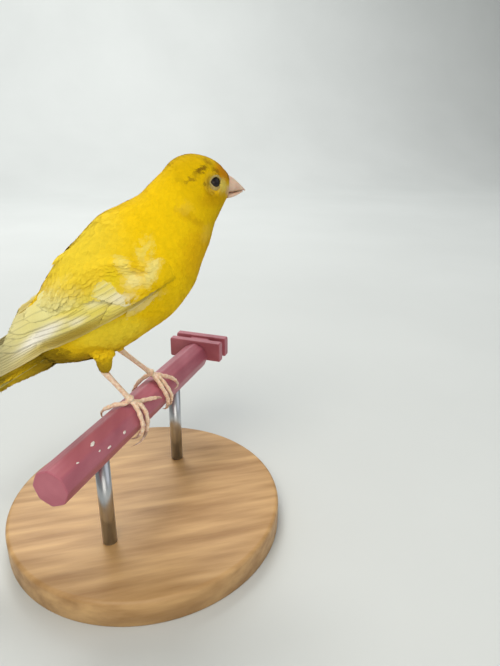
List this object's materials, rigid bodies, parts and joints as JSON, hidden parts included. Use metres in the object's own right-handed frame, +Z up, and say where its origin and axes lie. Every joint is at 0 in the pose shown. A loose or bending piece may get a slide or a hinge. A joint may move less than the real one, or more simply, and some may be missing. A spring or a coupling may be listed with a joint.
{
  "type": "canary on a perch",
  "caption": "Life-size perching canary in still pose, toes round a fluted cut perch, folded wings and straight tail, on a plain round display stand.",
  "frame": {"origin": "centre of the stand's flat underside, on the ground, straight below the point where the bird's middle plane crosses the perch axis", "axes": "+X the way the bird heads, +Y the bird's left, +Z up; the perch axis is level, turned 57 degrees from +X towards +Y"},
  "size_m": [0.126, 0.1085, 0.1383],
  "materials": {
    "body_feathers": "soft overlapping body feathers, bright yellow",
    "head_feathers": "very short dense feathers, golden yellow with olive ticks behind the eye",
    "wing_feathers": "smooth flight feathers and coverts, cream with yellow edges",
    "tail_feathers": "smooth tail feathers, cream with yellow edges",
    "bill": "horn, pale flesh pink, satin",
    "eye": "moist, near black, gloss",
    "leg_skin": "scaly skin, pinkish tan",
    "claw": "horn, translucent pale tan",
    "perch_plastic": "moulded plastic, mauve, worn satin",
    "stand_steel": "plain round rod, satin",
    "stand_oak": "turned light oak, oiled"
  },
  "bodies": {
    "root": {"torso": "body_feathers", "neck": "body_feathers", "head": "head_feathers", "bill_upper": "bill", "bill_lower": "bill", "wing_right": "wing_feathers", "wing_left": "wing_feathers", "tail": "tail_feathers", "eye_right": "eye", "thigh_right": "body_feathers", "tarsus_right": "leg_skin", "foot_right": "leg_skin", "claw_right_hind": "claw", "claw_right_inner": "claw", "claw_right_middle": "claw", "claw_right_outer": "claw", "eye_left": "eye", "thigh_left": "body_feathers", "tarsus_left": "leg_skin", "foot_left": "leg_skin", "claw_left_hind": "claw", "claw_left_inner": "claw", "claw_left_middle": "claw", "claw_left_outer": "claw", "perch": "perch_plastic", "stand_rod_near": "stand_steel", "stand_rod_far": "stand_steel", "stand_base": "stand_oak"}
  },
  "joints": []
}
